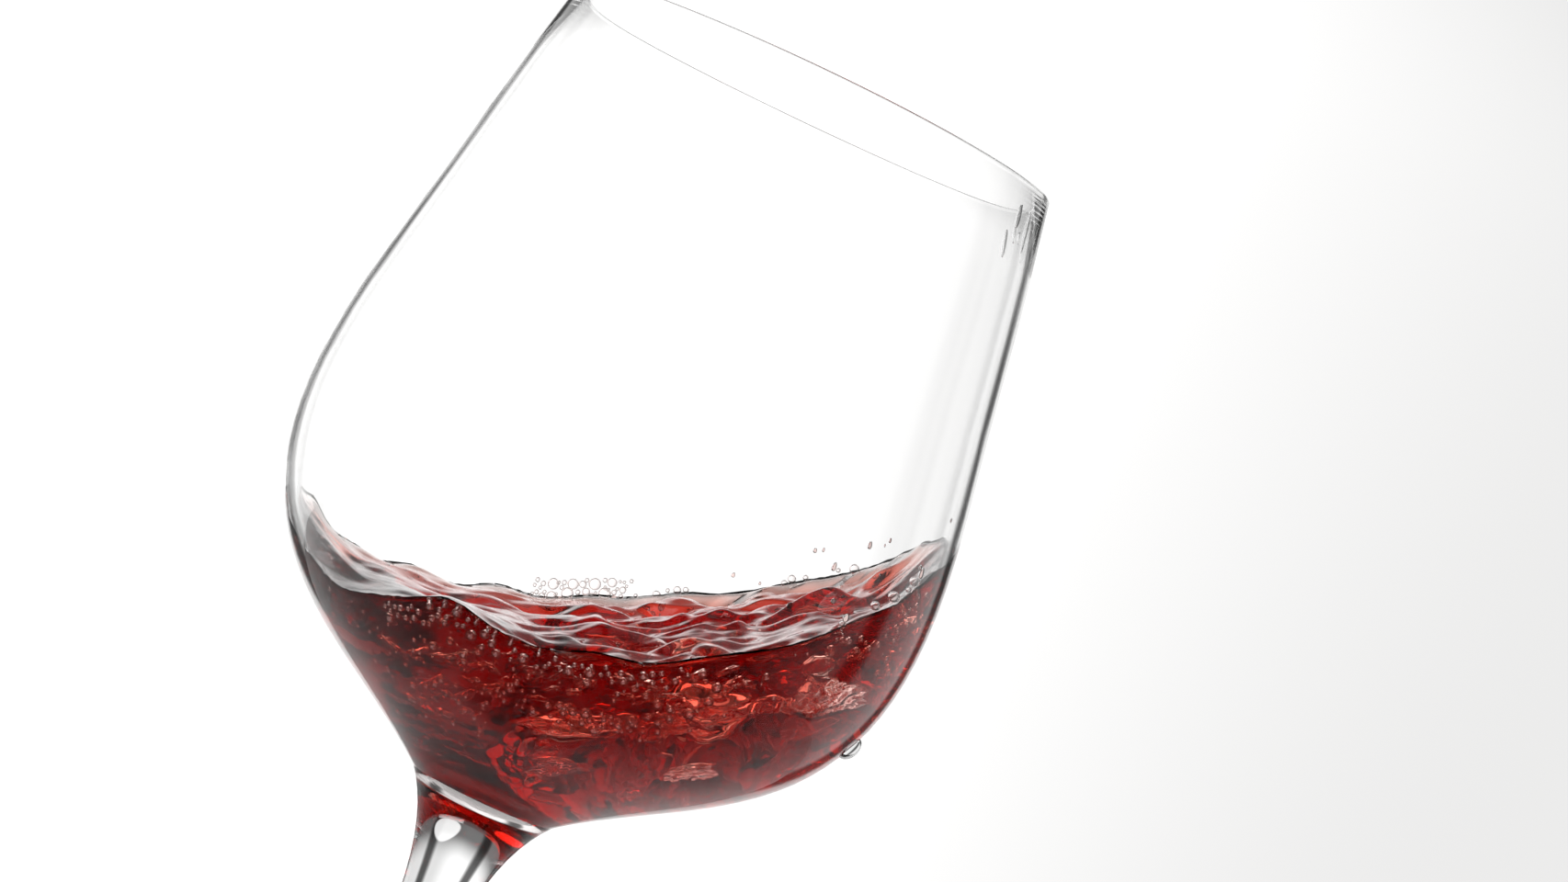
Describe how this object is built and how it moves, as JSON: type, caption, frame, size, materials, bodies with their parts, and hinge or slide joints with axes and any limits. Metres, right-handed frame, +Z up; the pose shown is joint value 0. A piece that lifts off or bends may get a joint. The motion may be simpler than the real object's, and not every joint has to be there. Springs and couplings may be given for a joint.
{
  "type": "glass of red wine",
  "caption": "Stemmed clear glass with a deep tapered bowl, part filled with red wine that surges up one side in a frozen wave.",
  "frame": {"origin": "centre of the foot's underside, on the surface that the glass stands on", "axes": "+Z up along the stem and the bowl's axis; the wine runs up the wall on the +X side; the side seen first is -Y"},
  "size_m": [0.092, 0.092, 0.218],
  "materials": {
    "clear_glass": "clear colourless blown glass, polished",
    "red_wine": "deep ruby red wine, clear, wet"
  },
  "bodies": {
    "root": {"wine_glass": "clear_glass", "red_wine": "red_wine"}
  },
  "joints": []
}
